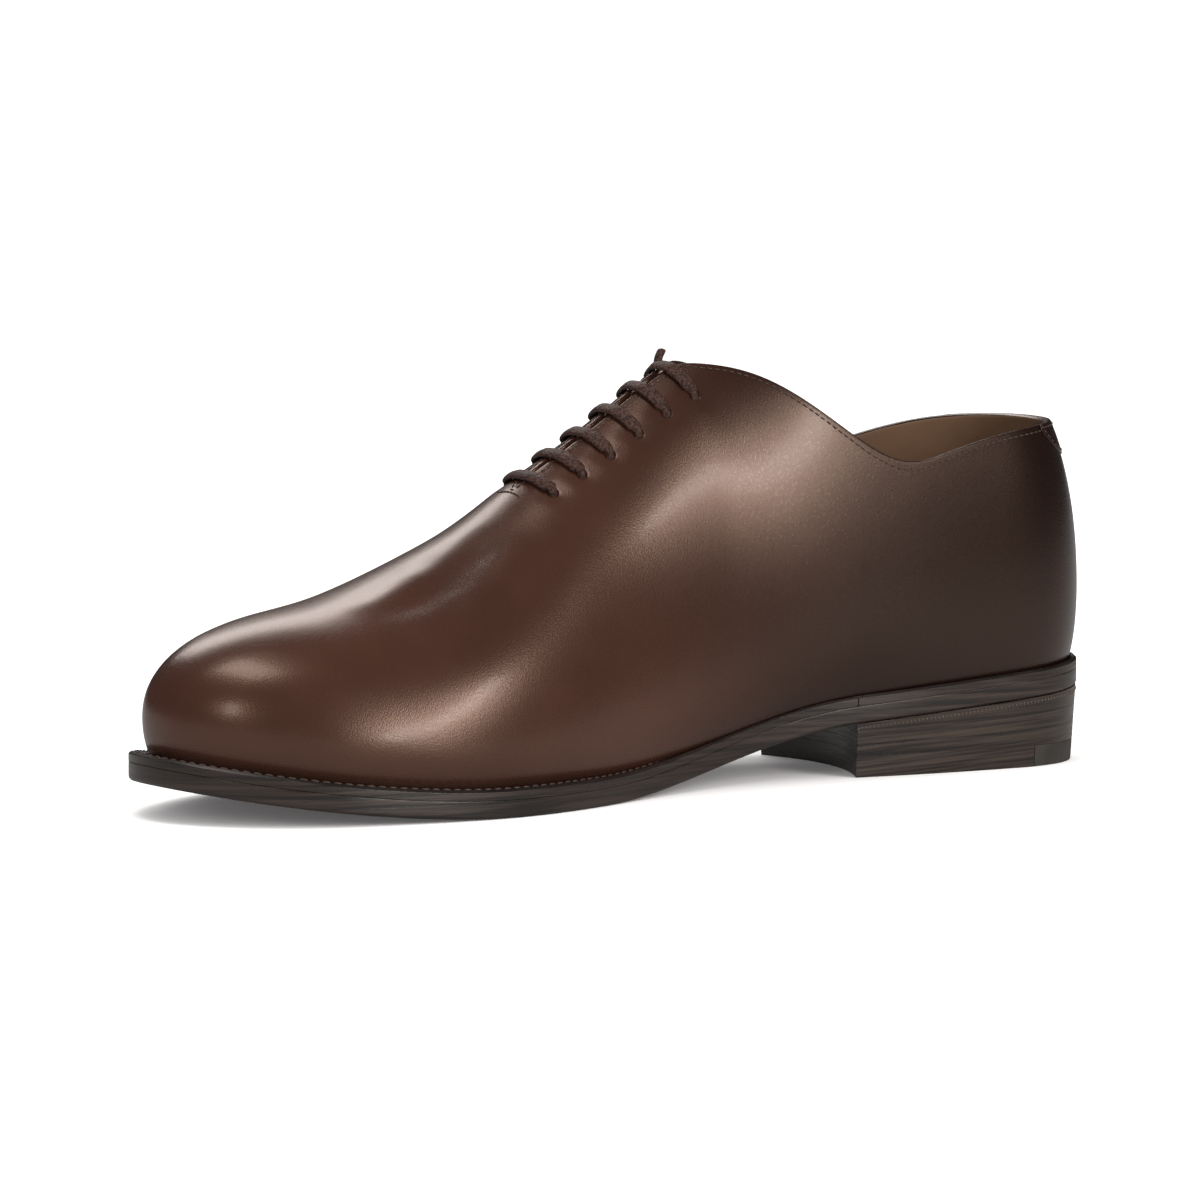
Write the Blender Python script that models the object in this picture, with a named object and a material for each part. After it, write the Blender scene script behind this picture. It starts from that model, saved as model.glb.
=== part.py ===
"""Whole cut oxford, right shoe, empty and standing on its sole.

Metres, +Z up, +X from heel to toe, +Y to the inner side of the foot. The origin is on the floor, under the middle of
the shoe. The upper is one hollow wall worked out from the sections of the last, and the sole, welt and heel follow
the same last. Until the pieces are hung on the empty at the end, x runs from the back of the sole.
"""

import math

import bmesh
import bpy
import numpy as np
from mathutils import Vector

# Driving sizes of the last
LAST_LENGTH = 0.3000  # widest outline, back of the heel to the tip of the toe
BALL_WIDTH = 0.1010  # widest outline across the ball
INSTEP_HEIGHT = 0.1000  # crown of the last above its bottom, a little in front of the top of the throat
BROAD_HEIGHT = 0.0220  # height of the widest outline above the bottom, at the heel
TUCK = 0.0040  # how far the bottom edge of the last lies inside its widest outline, at the heel
TUCK_ANGLE = math.radians(62)  # how far the wall has turned under where it meets the sole
HEEL_ROUND = 0.11  # where the round of the heel ends, as a share of the last
TOE_ROUND = 0.84  # where the round of the toe starts, as a share of the last
ROUND_POWER = 2.2  # 2 is an ellipse in plan, more is squarer

# Sole, welt and heel
HEEL_RISE = 0.0223  # underside of the outsole above the floor, at the back
SEAT_PITCH = 0.0800  # fall of the heel seat towards the toe, per unit of length
BREAST_INNER = 0.0850  # front of the heel on the inner side, from the back of the sole
BREAST_OUTER = 0.0790
BREAST_HOLLOW = 0.0070  # how far the front of the heel is hollowed behind its corners
TREAD_START = 0.1800  # where the forepart meets the floor, from the back of the sole
TREAD_END = 0.2140
TOE_SPRING = 0.0103
SPRING_POWER = 1.7  # 1 rises straight from the floor to the toe, more rises later
OUTSOLE_THICKNESS = 0.0048
WELT_THICKNESS = 0.0026
INSOLE_THICKNESS = 0.0032
SEAT_MARGIN = 0.0030  # rand outside the last's bottom edge, at the heel
TOE_MARGIN = 0.0072  # welt outside the last's bottom edge, at the toe
EDGE_ROUND = 0.0007  # break of the sole's and welt's edges
TOP_PIECE_THICKNESS = 0.0063
HEEL_LIFTS = 3
HEEL_TAPER = 0.0016  # the heel is this much smaller all round at the floor
RUBBER_FRONT_OUTER = 0.0455  # front of the rubber half on the outer side, from the back of the sole
RUBBER_FRONT_INNER = 0.0270
CORNER_SKIP = 0.0020  # sections of the last nearer than this to a corner of the heel are left out of it
PIN_RADIUS = 0.0008
PIN_LENGTH = 0.0030
PIN_SPREAD = 0.0030  # pins of a group from the group's middle
PIN_SUNK = 0.0002

# Upper, tongue and lace
WALL = 0.0020
TOPLINE_RISE = 0.0905  # top of the throat above the heel seat
THROAT_TOP = 0.1257  # from the back of the sole
THROAT_BOTTOM = 0.1820
SLIT_WIDTH_TOP = 0.0046
SLIT_WIDTH_BOTTOM = 0.0020
EYELETS = 6
EYELET_RADIUS = 0.0016
EYELET_EDGE = 0.0126  # middle of an eyelet from the slit's edge
STRIP_REACH = 0.0300  # heel strip from the back seam to its end, along the topline
STRIP_DEPTH = 0.0125
STRIP_END_DEPTH = 0.0022
STRIP_THICKNESS = 0.0011
TONGUE_THICKNESS = 0.0018
TONGUE_HALF_WIDTH = 0.0250  # from the slit's edge
TONGUE_GAP = 0.0005  # between the tongue and the upper
LACE_WIDTH = 0.0034
LACE_THICKNESS = 0.0014
LACE_ARCH = 0.0008  # extra height of a bar over the slit
CLEARANCE = 0.0003  # between neighbouring pieces

# Counts
HEEL_STEPS = 8
TOE_STEPS = 9
BACK_STEPS = 12
VAMP_STEPS = 8
TONGUE_STEPS = 2  # steps of the vamp that the tongue reaches past the slit
EDGE_ROWS = 4
WALL_ROWS = 7
TUCK_ROWS = 4
PATCH_ROWS = 5  # rows on each side of the crown that run into the toe's patch
STRIP_STEPS = 6
STRIP_ROWS = 2
BREAST_STEPS = 8
PROFILE_SAMPLES = 60
LACE_POINTS = 11
LACE_SIDES = 8
PIN_SIDES = 8
PINS_IN_GROUP = 3

# How finely curves are searched and measured
HALVINGS = 40
SLOPE_STEP = 1e-4  # between two sections, as a share of the last
TURN_STEP = 1e-3  # between two turns or two levels

# Edges sharper than this, in degrees, stay crisp
SOLE_SHARP = 30
UPPER_SHARP = 40
LACE_SHARP = 50

INNER, OUTER = 1, -1
SIDES = (INNER, OUTER)
STRAIGHT = math.pi / 2  # turn of a section square across the last; 0 points to the toe and pi to the back

# Sections of the last. along is a share of LAST_LENGTH. inner and outer are half widths at the widest outline, and
# swing is the centre line's shift to the inner side, in shares of BALL_WIDTH. tuck_in and tuck_out are the tuck on
# each side, in shares of TUCK, and broad is the height of the widest outline, in shares of BROAD_HEIGHT.
LAST_WIDTHS = [
    # along, inner, outer, swing, tuck_in, tuck_out, broad
    (0.110, 0.342, 0.342, 0.000, 1.00, 1.00, 1.00),
    (0.240, 0.334, 0.352, 0.005, 1.50, 1.12, 1.00),
    (0.360, 0.310, 0.370, 0.015, 2.20, 1.05, 0.98),
    (0.450, 0.318, 0.402, 0.022, 1.95, 0.98, 0.90),
    (0.535, 0.366, 0.446, 0.024, 1.45, 0.88, 0.78),
    (0.620, 0.440, 0.485, 0.025, 1.10, 0.83, 0.69),
    (0.700, 0.487, 0.490, 0.028, 0.90, 0.83, 0.64),
    (0.775, 0.478, 0.455, 0.034, 0.88, 0.85, 0.62),
    (0.840, 0.440, 0.398, 0.042, 0.88, 0.88, 0.61),
]
# Crown of the last: height above the bottom in shares of INSTEP_HEIGHT, and how full the section is at its side and
# at its crown. Behind the throat the crown is only the line that the wall leans towards.
LAST_CROWN = [
    # along, height, side_full, crown_full
    (0.000, 0.900, 0.62, 0.62),
    (0.110, 0.960, 0.62, 0.62),
    (0.240, 1.060, 0.58, 0.58),
    (0.340, 1.120, 0.52, 0.52),
    (0.415, 1.090, 0.46, 0.46),
    (0.479, 1.025, 0.45, 0.46),
    (0.541, 0.926, 0.45, 0.48),
    (0.606, 0.812, 0.47, 0.50),
    (0.650, 0.718, 0.49, 0.53),
    (0.700, 0.645, 0.50, 0.54),
    (0.758, 0.570, 0.53, 0.56),
    (0.833, 0.487, 0.57, 0.58),
    (0.893, 0.450, 0.58, 0.59),
    (1.000, 0.400, 0.58, 0.60),
]
# Topline: height above the heel seat in shares of TOPLINE_RISE.
TOPLINE = [
    # along, height
    (0.000, 0.790),
    (0.060, 0.780),
    (0.130, 0.752),
    (0.190, 0.705),
    (0.235, 0.680),
    (0.290, 0.778),
    (0.340, 0.905),
    (0.385, 0.982),
    (0.430, 1.005),
]
# Welt outside the last's bottom edge, as the share of the way from SEAT_MARGIN to TOE_MARGIN.
WELT_MARGINS = [
    # along, inner, outer
    (0.000, 0.00, 0.00),
    (0.240, 0.02, 0.08),
    (0.400, 0.02, 0.30),
    (0.520, 0.33, 0.60),
    (0.650, 0.78, 0.82),
    (0.800, 0.93, 0.93),
    (1.000, 1.00, 1.00),
]
# Groups of brass pins: middle of each group, from the back of the sole and from the centre line.
PIN_GROUPS = [
    # along, across
    (0.0665, -0.0230),
    (0.0520, -0.0240),
    (0.0740, 0.0240),
    (0.0575, 0.0240),
    (0.0415, 0.0225),
]


# Smooth curves through the tables


def spline(table, column):
    """Natural cubic spline of one column against the first, straight beyond both ends."""
    xs = np.array([row[0] for row in table])
    ys = np.array([row[column] for row in table])
    steps = np.diff(xs)
    slopes = np.diff(ys) / steps
    matrix = np.eye(len(xs))
    right = np.zeros(len(xs))
    for i in range(1, len(xs) - 1):
        matrix[i, i - 1 : i + 2] = steps[i - 1], 2 * (steps[i - 1] + steps[i]), steps[i]
        right[i] = 6 * (slopes[i] - slopes[i - 1])
    bends = np.linalg.solve(matrix, right)
    start = slopes[0] - steps[0] * bends[1] / 6
    end = slopes[-1] + steps[-1] * bends[-2] / 6

    def value(x):
        if x <= xs[0]:
            return ys[0] + start * (x - xs[0])
        if x >= xs[-1]:
            return ys[-1] + end * (x - xs[-1])
        i = int(np.searchsorted(xs, x)) - 1
        left, rest = x - xs[i], xs[i + 1] - x
        step = steps[i]
        bent = (bends[i] * rest**3 + bends[i + 1] * left**3) / (6 * step)
        low = (ys[i] / step - bends[i] * step / 6) * rest
        return bent + low + (ys[i + 1] / step - bends[i + 1] * step / 6) * left

    return value


HALF_WIDTH = {INNER: spline(LAST_WIDTHS, 1), OUTER: spline(LAST_WIDTHS, 2)}
SWING = spline(LAST_WIDTHS, 3)
TUCK_SHARE = {INNER: spline(LAST_WIDTHS, 4), OUTER: spline(LAST_WIDTHS, 5)}
BROAD = spline(LAST_WIDTHS, 6)
CROWN = spline(LAST_CROWN, 1)
SIDE_FULL = spline(LAST_CROWN, 2)
CROWN_FULL = spline(LAST_CROWN, 3)
TOPLINE_SHARE = spline(TOPLINE, 1)
MARGIN_SHARE = {INNER: spline(WELT_MARGINS, 1), OUTER: spline(WELT_MARGINS, 2)}


# The last. A station is the pole that its section starts from and its turn round that pole.


def x_at(share):
    return SEAT_MARGIN - TUCK + share * LAST_LENGTH


def share_at(x):
    return (x - x_at(0)) / LAST_LENGTH


SOLE_LENGTH = x_at(1.0) - TUCK_SHARE[INNER](1.0) * TUCK + TOE_MARGIN
HEEL_POLE = x_at(HEEL_ROUND)
TOE_POLE = x_at(TOE_ROUND)


def ease(t):
    t = min(max(t, 0.0), 1.0)
    return t * t * (3 - 2 * t)


def sole_under(x):
    """Height of the outsole's underside above the floor."""
    seat = HEEL_RISE - SEAT_PITCH * x
    fall = ease((x - BREAST_INNER) / (TREAD_START - BREAST_INNER))
    spring = max(0.0, (x - TREAD_END) / (SOLE_LENGTH - TREAD_END)) ** SPRING_POWER
    return seat * (1 - fall) + TOE_SPRING * spring


def last_bottom(x):
    """Height of the last's bottom edge, just above the outsole."""
    return sole_under(x) + OUTSOLE_THICKNESS + CLEARANCE


def plan(station, side, reach):
    """Plan position in a section: reach is 0 on the centre line and 1 on the widest outline."""
    pole, turn = station
    x = pole
    spread = 1.0
    if turn != STRAIGHT:
        length = x_at(1.0) - pole if turn < STRAIGHT else x_at(0.0) - pole
        x += length * abs(math.cos(turn)) ** (2 / ROUND_POWER) * reach
        spread = abs(math.sin(turn)) ** (2 / ROUND_POWER)
    share = share_at(x)
    half = HALF_WIDTH[side](share) * BALL_WIDTH
    return x, SWING(share) * BALL_WIDTH + side * half * spread * reach


def section(station, side, level):
    """Reach and height above the bottom at a level: -1 is the bottom edge, 0 the widest outline and 1 the crown."""
    x, y = plan(station, side, 1.0)
    share = share_at(x)
    broad = BROAD(share) * BROAD_HEIGHT
    if level <= 0:
        centre_x, centre_y = plan(station, side, 0.0)
        tuck = TUCK_SHARE[side](share) * TUCK
        angle = -level * TUCK_ANGLE
        inset = tuck * (1 - math.cos(angle)) / (1 - math.cos(TUCK_ANGLE))
        height = broad * (1 - math.sin(angle) / math.sin(TUCK_ANGLE))
        return 1 - inset / math.hypot(x - centre_x, y - centre_y), height
    side_full, crown_full = SIDE_FULL(share), CROWN_FULL(share)
    rest = 1 - level
    reach = rest**3 + 3 * rest**2 * level + 3 * rest * level**2 * crown_full
    lift = 3 * rest**2 * level * side_full + 3 * rest * level**2 + level**3
    here = share_at(plan(station, side, reach)[0])
    return reach, broad + lift * (CROWN(here) * INSTEP_HEIGHT - broad)


def last_point(station, side, level):
    reach, height = section(station, side, level)
    x, y = plan(station, side, reach)
    return Vector((x, y, last_bottom(x) + height))


def last_normal(station, side, level):
    """Outward direction of a straight section's surface."""
    pole, turn = station
    step = LAST_LENGTH * SLOPE_STEP
    above, below = min(level + TURN_STEP, 1.0), level - TURN_STEP
    across = last_point(station, side, above) - last_point(station, side, below)
    along = last_point((pole + step, turn), side, level) - last_point((pole - step, turn), side, level)
    return (across.cross(along) * side).normalized()


# The foot edge, where the upper meets the sole, and the sole's edge outside it


def foot_edge(side, station, height=0.0):
    """Plan point of the last's surface at a small height above its bottom."""
    broad = BROAD(share_at(plan(station, side, 1.0)[0])) * BROAD_HEIGHT
    angle = math.asin((1 - height / broad) * math.sin(TUCK_ANGLE))
    reach, _ = section(station, side, -angle / TUCK_ANGLE)
    return plan(station, side, reach)


def outward(side, station):
    """Direction in plan that points square out of the foot edge."""
    pole, turn = station
    if turn in (0.0, math.pi):
        return math.cos(turn), 0.0
    if turn == STRAIGHT:
        step = LAST_LENGTH * SLOPE_STEP
        before, after = (pole - step, turn), (pole + step, turn)
    else:
        before, after = (pole, turn + TURN_STEP), (pole, turn - TURN_STEP)
    start, end = foot_edge(side, before), foot_edge(side, after)
    dx, dy = end[0] - start[0], end[1] - start[1]
    size = math.hypot(dx, dy)
    return -side * dy / size, side * dx / size


def beside_foot(side, station, distance, height=0.0):
    """Plan point outside the last's surface, or inside it where the distance is negative."""
    x, y = foot_edge(side, station, height)
    dx, dy = outward(side, station)
    return x + dx * distance, y + dy * distance


def lean(side, station):
    """Angle between the wall and the upright where it meets the sole."""
    low, high = foot_edge(side, station), foot_edge(side, station, EDGE_ROUND)
    return math.atan2(math.hypot(high[0] - low[0], high[1] - low[1]), EDGE_ROUND)


def margin(side, station):
    share = MARGIN_SHARE[side](share_at(foot_edge(side, station)[0]))
    return SEAT_MARGIN + (TOE_MARGIN - SEAT_MARGIN) * share


def sole_edge(side, station, inset=0.0):
    return beside_foot(side, station, margin(side, station) - inset)


# Stations, from the back of the heel to the tip of the toe


def spaced(start, end, steps):
    return [start + (end - start) * i / steps for i in range(steps)]


HEEL_STATIONS = [(HEEL_POLE, turn) for turn in spaced(math.pi, STRAIGHT, HEEL_STEPS)]
BACK_STATIONS = [(x, STRAIGHT) for x in spaced(HEEL_POLE, THROAT_TOP, BACK_STEPS)]
THROAT_STATIONS = [(x, STRAIGHT) for x in spaced(THROAT_TOP, THROAT_BOTTOM, 2 * EYELETS)]
VAMP_STATIONS = [(x, STRAIGHT) for x in spaced(THROAT_BOTTOM, TOE_POLE, VAMP_STEPS)]
TOE_STATIONS = [(TOE_POLE, turn) for turn in spaced(STRAIGHT, 0.0, TOE_STEPS)] + [(TOE_POLE, 0.0)]
SIDE_STATIONS = HEEL_STATIONS + BACK_STATIONS + THROAT_STATIONS + VAMP_STATIONS + TOE_STATIONS[:1]
STATIONS = SIDE_STATIONS + TOE_STATIONS[1:]
FIRST_THROAT = HEEL_STEPS + BACK_STEPS
FIRST_VAMP = FIRST_THROAT + 2 * EYELETS
EYELET_COLUMNS = [FIRST_THROAT + 1 + 2 * i for i in range(EYELETS)]
EYELET_ROW = 2


# Building and finishing meshes


def add_loops(bm, loops, closed=True):
    """Vertices for rings of points, joined by quads from each ring to the next."""
    rings = [[bm.verts.new(point) for point in loop] for loop in loops]
    count = len(rings[0])
    for low, high in zip(rings, rings[1:]):
        for i in range(count if closed else count - 1):
            after = (i + 1) % count
            bm.faces.new((low[i], low[after], high[after], high[i]))
    return rings


def finish(name, bm, material, smooth_angle=None):
    bmesh.ops.recalc_face_normals(bm, faces=bm.faces)
    return link(name, bm, material, smooth_angle)


def link(name, bm, material, smooth_angle=None):
    mesh = bpy.data.meshes.new(name)
    bm.to_mesh(mesh)
    bm.free()
    if smooth_angle is not None:
        mesh.shade_smooth()
        mesh.set_sharp_from_angle(angle=math.radians(smooth_angle))
    mesh.materials.append(material)
    piece = bpy.data.objects.new(name, mesh)
    bpy.context.scene.collection.objects.link(piece)
    return piece


def principled(name, colour, roughness, metallic=0.0):
    material = bpy.data.materials.new(name)
    material.use_nodes = True
    shader = material.node_tree.nodes["Principled BSDF"]
    shader.inputs["Base Color"].default_value = (*colour, 1.0)
    shader.inputs["Roughness"].default_value = roughness
    shader.inputs["Metallic"].default_value = metallic
    return material


# Upper


def slit_half(x):
    """Half the width of the throat slit."""
    t = min(max((x - THROAT_TOP) / (THROAT_BOTTOM - THROAT_TOP), 0.0), 1.0)
    return (SLIT_WIDTH_TOP + (SLIT_WIDTH_BOTTOM - SLIT_WIDTH_TOP) * t) / 2


def topline(x):
    return last_bottom(0.0) + TOPLINE_SHARE(share_at(x)) * TOPLINE_RISE


def top_level(station, side):
    """Level of the upper's top edge: the topline, the slit's edge or, in front of the slit, the crown."""
    if station[0] >= THROAT_BOTTOM:
        return 1.0
    half = slit_half(station[0]) if station[1] == STRAIGHT else 0.0
    low, high = 0.0, 1.0
    for _ in range(HALVINGS):
        level = (low + high) / 2
        point = last_point(station, side, level)
        centre = SWING(share_at(point.x)) * BALL_WIDTH
        if point.z < topline(point.x) and abs(point.y - centre) >= half:
            low = level
        else:
            high = level
    return low


def levels_below_top(station, side, distances):
    """Levels at distances from the top edge along the surface, and the whole distance to the widest outline."""
    levels = [top_level(station, side) * (1 - i / PROFILE_SAMPLES) for i in range(PROFILE_SAMPLES + 1)]
    points = [last_point(station, side, level) for level in levels]
    lengths = np.cumsum([0.0] + [(b - a).length for a, b in zip(points, points[1:])])
    return list(np.interp(distances(lengths[-1]), lengths, levels))


def row_distances(whole):
    near = [EYELET_EDGE * 0.5 * row for row in range(EDGE_ROWS)] + [TONGUE_HALF_WIDTH]
    return near + [near[-1] + (whole - near[-1]) * (i + 1) / WALL_ROWS for i in range(WALL_ROWS)]


def row_levels(station, side):
    """Levels of the upper's rows, from the top edge to the bottom edge."""
    return levels_below_top(station, side, row_distances) + [-(i + 1) / TUCK_ROWS for i in range(TUCK_ROWS)]


ROW_LEVELS = {side: [row_levels(station, side) for station in SIDE_STATIONS] for side in SIDES}
ROWS = len(ROW_LEVELS[INNER][0])


def side_point(side, column, row):
    return last_point(SIDE_STATIONS[column], side, ROW_LEVELS[side][column][row])


def toe_level(side, turn, row):
    """Level of a row round the toe: each side's own at its start, and their mean at the tip."""
    own = ROW_LEVELS[side][-1][row]
    mean = (ROW_LEVELS[INNER][-1][row] + ROW_LEVELS[OUTER][-1][row]) / 2
    return mean + (own - mean) * ease(turn / STRAIGHT)


def aim(side, turn, level):
    """Direction from the toe's pole, with the level as its elevation."""
    rise = level * math.pi / 2
    return np.array([math.cos(turn) * math.cos(rise), side * math.sin(turn) * math.cos(rise), math.sin(rise)])


def aimed_point(direction):
    direction = direction / np.linalg.norm(direction)
    side = INNER if direction[1] >= 0 else OUTER
    turn = math.atan2(abs(direction[1]), max(direction[0], 0.0))
    return last_point((TOE_POLE, turn), side, math.asin(direction[2]) / (math.pi / 2))


def toe_patch(bm, ring, arch):
    """Grid over the top of the toe, between the crown's rows and the ring of the first row that goes round."""
    depth, across = TOE_STEPS - PATCH_ROWS, 2 * PATCH_ROWS

    def ring_aim(step):
        side = INNER if step < 0 else OUTER
        turn = STRAIGHT * abs(step) / TOE_STEPS
        return aim(side, turn, toe_level(side, turn, PATCH_ROWS))

    def arch_aim(step):
        side = INNER if step < 0 else OUTER
        return aim(side, STRAIGHT, ROW_LEVELS[side][-1][abs(step)])

    rows = [arch]
    for u in range(1, depth):
        row = [ring[u]]
        for v in range(1, across):
            s, t = u / depth, v / across
            left, right = ring_aim(u - TOE_STEPS), ring_aim(TOE_STEPS - u)
            back, front = arch_aim(v - PATCH_ROWS), ring_aim(v - PATCH_ROWS)
            corners = (1 - s) * (1 - t) * ring_aim(-TOE_STEPS) + (1 - s) * t * ring_aim(TOE_STEPS)
            corners = corners + s * (1 - t) * ring_aim(-PATCH_ROWS) + s * t * ring_aim(PATCH_ROWS)
            mixed = (1 - t) * left + t * right + (1 - s) * back + s * front - corners
            row.append(bm.verts.new(aimed_point(mixed)))
        rows.append(row + [ring[-1 - u]])
    rows.append(ring[depth : len(ring) - depth])
    for low, high in zip(rows, rows[1:]):
        for v in range(across):
            bm.faces.new((low[v], low[v + 1], high[v + 1], high[v]))


def upper_sheet():
    """The upper's outer face, open at the collar, slit, eyelets and bottom."""
    bm = bmesh.new()
    grid = {}
    for side in SIDES:
        for column in range(len(SIDE_STATIONS)):
            for row in range(ROWS):
                on_seam = column == 0 or (row == 0 and column >= FIRST_VAMP)
                if side == OUTER and on_seam:
                    grid[side, column, row] = grid[INNER, column, row]
                else:
                    grid[side, column, row] = bm.verts.new(side_point(side, column, row))
        for column in range(len(SIDE_STATIONS) - 1):
            for row in range(ROWS - 1):
                corners = [(column, row), (column + 1, row), (column + 1, row + 1), (column, row + 1)]
                bm.faces.new([grid[(side, *corner)] for corner in corners[:: side]])
    last = len(SIDE_STATIONS) - 1
    rings = []
    for row in range(PATCH_ROWS, ROWS):
        ring = [grid[INNER, last, row]]
        for side, stations in ((INNER, TOE_STATIONS[1:]), (OUTER, TOE_STATIONS[-2:0:-1])):
            for station in stations:
                level = toe_level(side, station[1], row)
                ring.append(bm.verts.new(last_point(station, side, level)))
        rings.append(ring + [grid[OUTER, last, row]])
    for high, low in zip(rings, rings[1:]):
        for i in range(2 * TOE_STEPS):
            bm.faces.new((high[i], high[i + 1], low[i + 1], low[i]))
    arch = [grid[INNER, last, row] for row in range(PATCH_ROWS, 0, -1)]
    arch += [grid[OUTER, last, row] for row in range(PATCH_ROWS + 1)]
    toe_patch(bm, rings[0], arch)
    for side in SIDES:
        for column in EYELET_COLUMNS:
            open_eyelet(bm, side, column, grid)
    bm.normal_update()
    return bm


def open_eyelet(bm, side, column, grid):
    """Put a round hole where the middle of four faces is."""
    centre = grid[side, column, EYELET_ROW]
    middle = centre.co.copy()
    steps = [(-1, -1), (0, -1), (1, -1), (1, 0), (1, 1), (0, 1), (-1, 1), (-1, 0)][:: side]
    around = [grid[side, column + dc, EYELET_ROW + dr] for dc, dr in steps]
    bmesh.ops.delete(bm, geom=[centre], context="VERTS")
    rim = [bm.verts.new(middle + (vert.co - middle).normalized() * EYELET_RADIUS) for vert in around]
    for i in range(len(around)):
        after = (i + 1) % len(around)
        bm.faces.new((around[i], around[after], rim[after], rim[i]))


def thicken(piece, thickness, offset):
    solidify = piece.modifiers.new("Solidify", "SOLIDIFY")
    solidify.thickness = thickness
    solidify.offset = offset
    solidify.use_even_offset = False


def build_upper(material):
    upper = link("upper", upper_sheet(), material, UPPER_SHARP)
    thicken(upper, WALL, -1)
    return upper


def build_heel_strip(material):
    """A crescent outside the top of the back seam."""
    turns = np.linspace(math.pi, STRAIGHT, PROFILE_SAMPLES)
    edge = [last_point((HEEL_POLE, turn), INNER, top_level((HEEL_POLE, turn), INNER)) for turn in turns]
    lengths = np.cumsum([0.0] + [(b - a).length for a, b in zip(edge, edge[1:])])
    bm = bmesh.new()
    columns = []
    for step in range(-STRIP_STEPS, STRIP_STEPS + 1):
        side = INNER if step <= 0 else OUTER
        share = abs(step) / STRIP_STEPS
        turn = float(np.interp(STRIP_REACH * share, lengths, turns))
        depth = STRIP_END_DEPTH + (STRIP_DEPTH - STRIP_END_DEPTH) * math.sqrt(1 - share**2)
        distances = [depth * row / STRIP_ROWS for row in range(STRIP_ROWS + 1)]
        levels = levels_below_top((HEEL_POLE, turn), side, lambda whole: distances)
        columns.append([last_point((HEEL_POLE, turn), side, level) for level in levels])
    add_loops(bm, columns, closed=False)
    bm.normal_update()
    for vert in bm.verts:
        vert.co += vert.normal * CLEARANCE
    strip = link("heel_strip", bm, material, UPPER_SHARP)
    thicken(strip, STRIP_THICKNESS, 1)
    return strip


def build_tongue(material):
    """A sheet under the slit and the eyelets, on the same rows as the upper."""
    bm = bmesh.new()
    rows = []
    for column in range(FIRST_THROAT, FIRST_VAMP + TONGUE_STEPS + 1):
        inner = [side_point(INNER, column, row) for row in range(EDGE_ROWS, 0, -1)]
        outer = [side_point(OUTER, column, row) for row in range(1, EDGE_ROWS + 1)]
        rows.append(inner + [last_point(SIDE_STATIONS[column], INNER, 1.0)] + outer)
    add_loops(bm, rows, closed=False)
    bm.normal_update()
    for vert in bm.verts:
        vert.co -= vert.normal * (WALL + TONGUE_GAP)
    tongue = link("tongue", bm, material, UPPER_SHARP)
    thicken(tongue, TONGUE_THICKNESS, -1)
    return tongue


# Sole


def build_slab(name, material, edge, profile, low):
    """A full length layer. The profile's rows are insets from the edge and heights above low(x)."""
    order = [(INNER, station) for station in STATIONS] + [(OUTER, station) for station in STATIONS[-2:0:-1]]
    bm = bmesh.new()
    loops = []
    for inset, height in profile:
        points = [edge(side, station, inset) for side, station in order]
        loops.append([(x, y, low(x) + height) for x, y in points])
    rings = add_loops(bm, loops)
    tip = len(STATIONS) - 1
    for ring in (rings[0], rings[-1]):
        bm.faces.new((ring[0], ring[1], ring[-1]))
        for i in range(1, tip - 1):
            bm.faces.new((ring[i], ring[i + 1], ring[-i - 1], ring[-i]))
        bm.faces.new((ring[tip - 1], ring[tip], ring[tip + 1]))
    return finish(name, bm, material, SOLE_SHARP)


def build_outsole(material):
    profile = [(EDGE_ROUND, 0.0), (0.0, EDGE_ROUND), (0.0, OUTSOLE_THICKNESS)]
    return build_slab("outsole", material, sole_edge, profile, sole_under)


def build_insole(material):
    """The floor inside the upper, clear of the wall's inner edge."""

    def edge(side, station, inset):
        return beside_foot(side, station, -WALL - CLEARANCE - inset)

    profile = [(0.0, 0.0), (0.0, INSOLE_THICKNESS - EDGE_ROUND), (EDGE_ROUND, INSOLE_THICKNESS)]
    return build_slab("insole", material, edge, profile, last_bottom)


def build_welt(name, material, route):
    """A strip on the outsole's edge, up against the foot edge, along a route of sides and stations."""
    bm = bmesh.new()
    loops = []
    for side, station in route:
        gap = CLEARANCE / math.cos(lean(side, station))
        loop = []
        for height in (0.0, WELT_THICKNESS):
            x, y = beside_foot(side, station, gap, height)
            loop.append((x, y, last_bottom(x) + height))
        outer_rows = [(EDGE_ROUND, WELT_THICKNESS), (0.0, WELT_THICKNESS - EDGE_ROUND), (0.0, 0.0)]
        for inset, height in outer_rows:
            x, y = sole_edge(side, station, inset)
            loop.append((x, y, last_bottom(x) + height))
        loops.append(loop)
    rings = add_loops(bm, loops)
    for ring in (rings[0], rings[-1]):
        bm.faces.new(ring)
    return finish(name, bm, material, SOLE_SHARP)


def forepart_route():
    """From the breast's inner corner round the toe to its outer corner."""
    route = []
    for side, breast in ((INNER, BREAST_INNER), (OUTER, BREAST_OUTER)):
        start = breast + CLEARANCE / 2
        stations = [s for s in STATIONS if s[1] <= STRAIGHT and s[0] > start + CORNER_SKIP]
        stations = [(start, STRAIGHT)] + stations
        route += [(side, s) for s in (stations if side == INNER else stations[-2::-1])]
    return route


def heel_side(side, front):
    """Stations of one side of the heel, from its front to its back."""
    stations = [s for s in HEEL_STATIONS + BACK_STATIONS if s[0] < front - CORNER_SKIP]
    return [(side, s) for s in [(front, STRAIGHT)] + stations[::-1]]


def seat_route():
    """From the breast's inner corner round the back to its outer corner."""
    inner = heel_side(INNER, BREAST_INNER - CLEARANCE / 2)
    outer = heel_side(OUTER, BREAST_OUTER - CLEARANCE / 2)
    return inner + outer[-2::-1]


# Heel


def heel_edge(side, station, height):
    """Plan point of the heel's side, which tapers towards the floor."""
    return sole_edge(side, station, HEEL_TAPER * (1 - height / HEEL_RISE))


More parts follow.
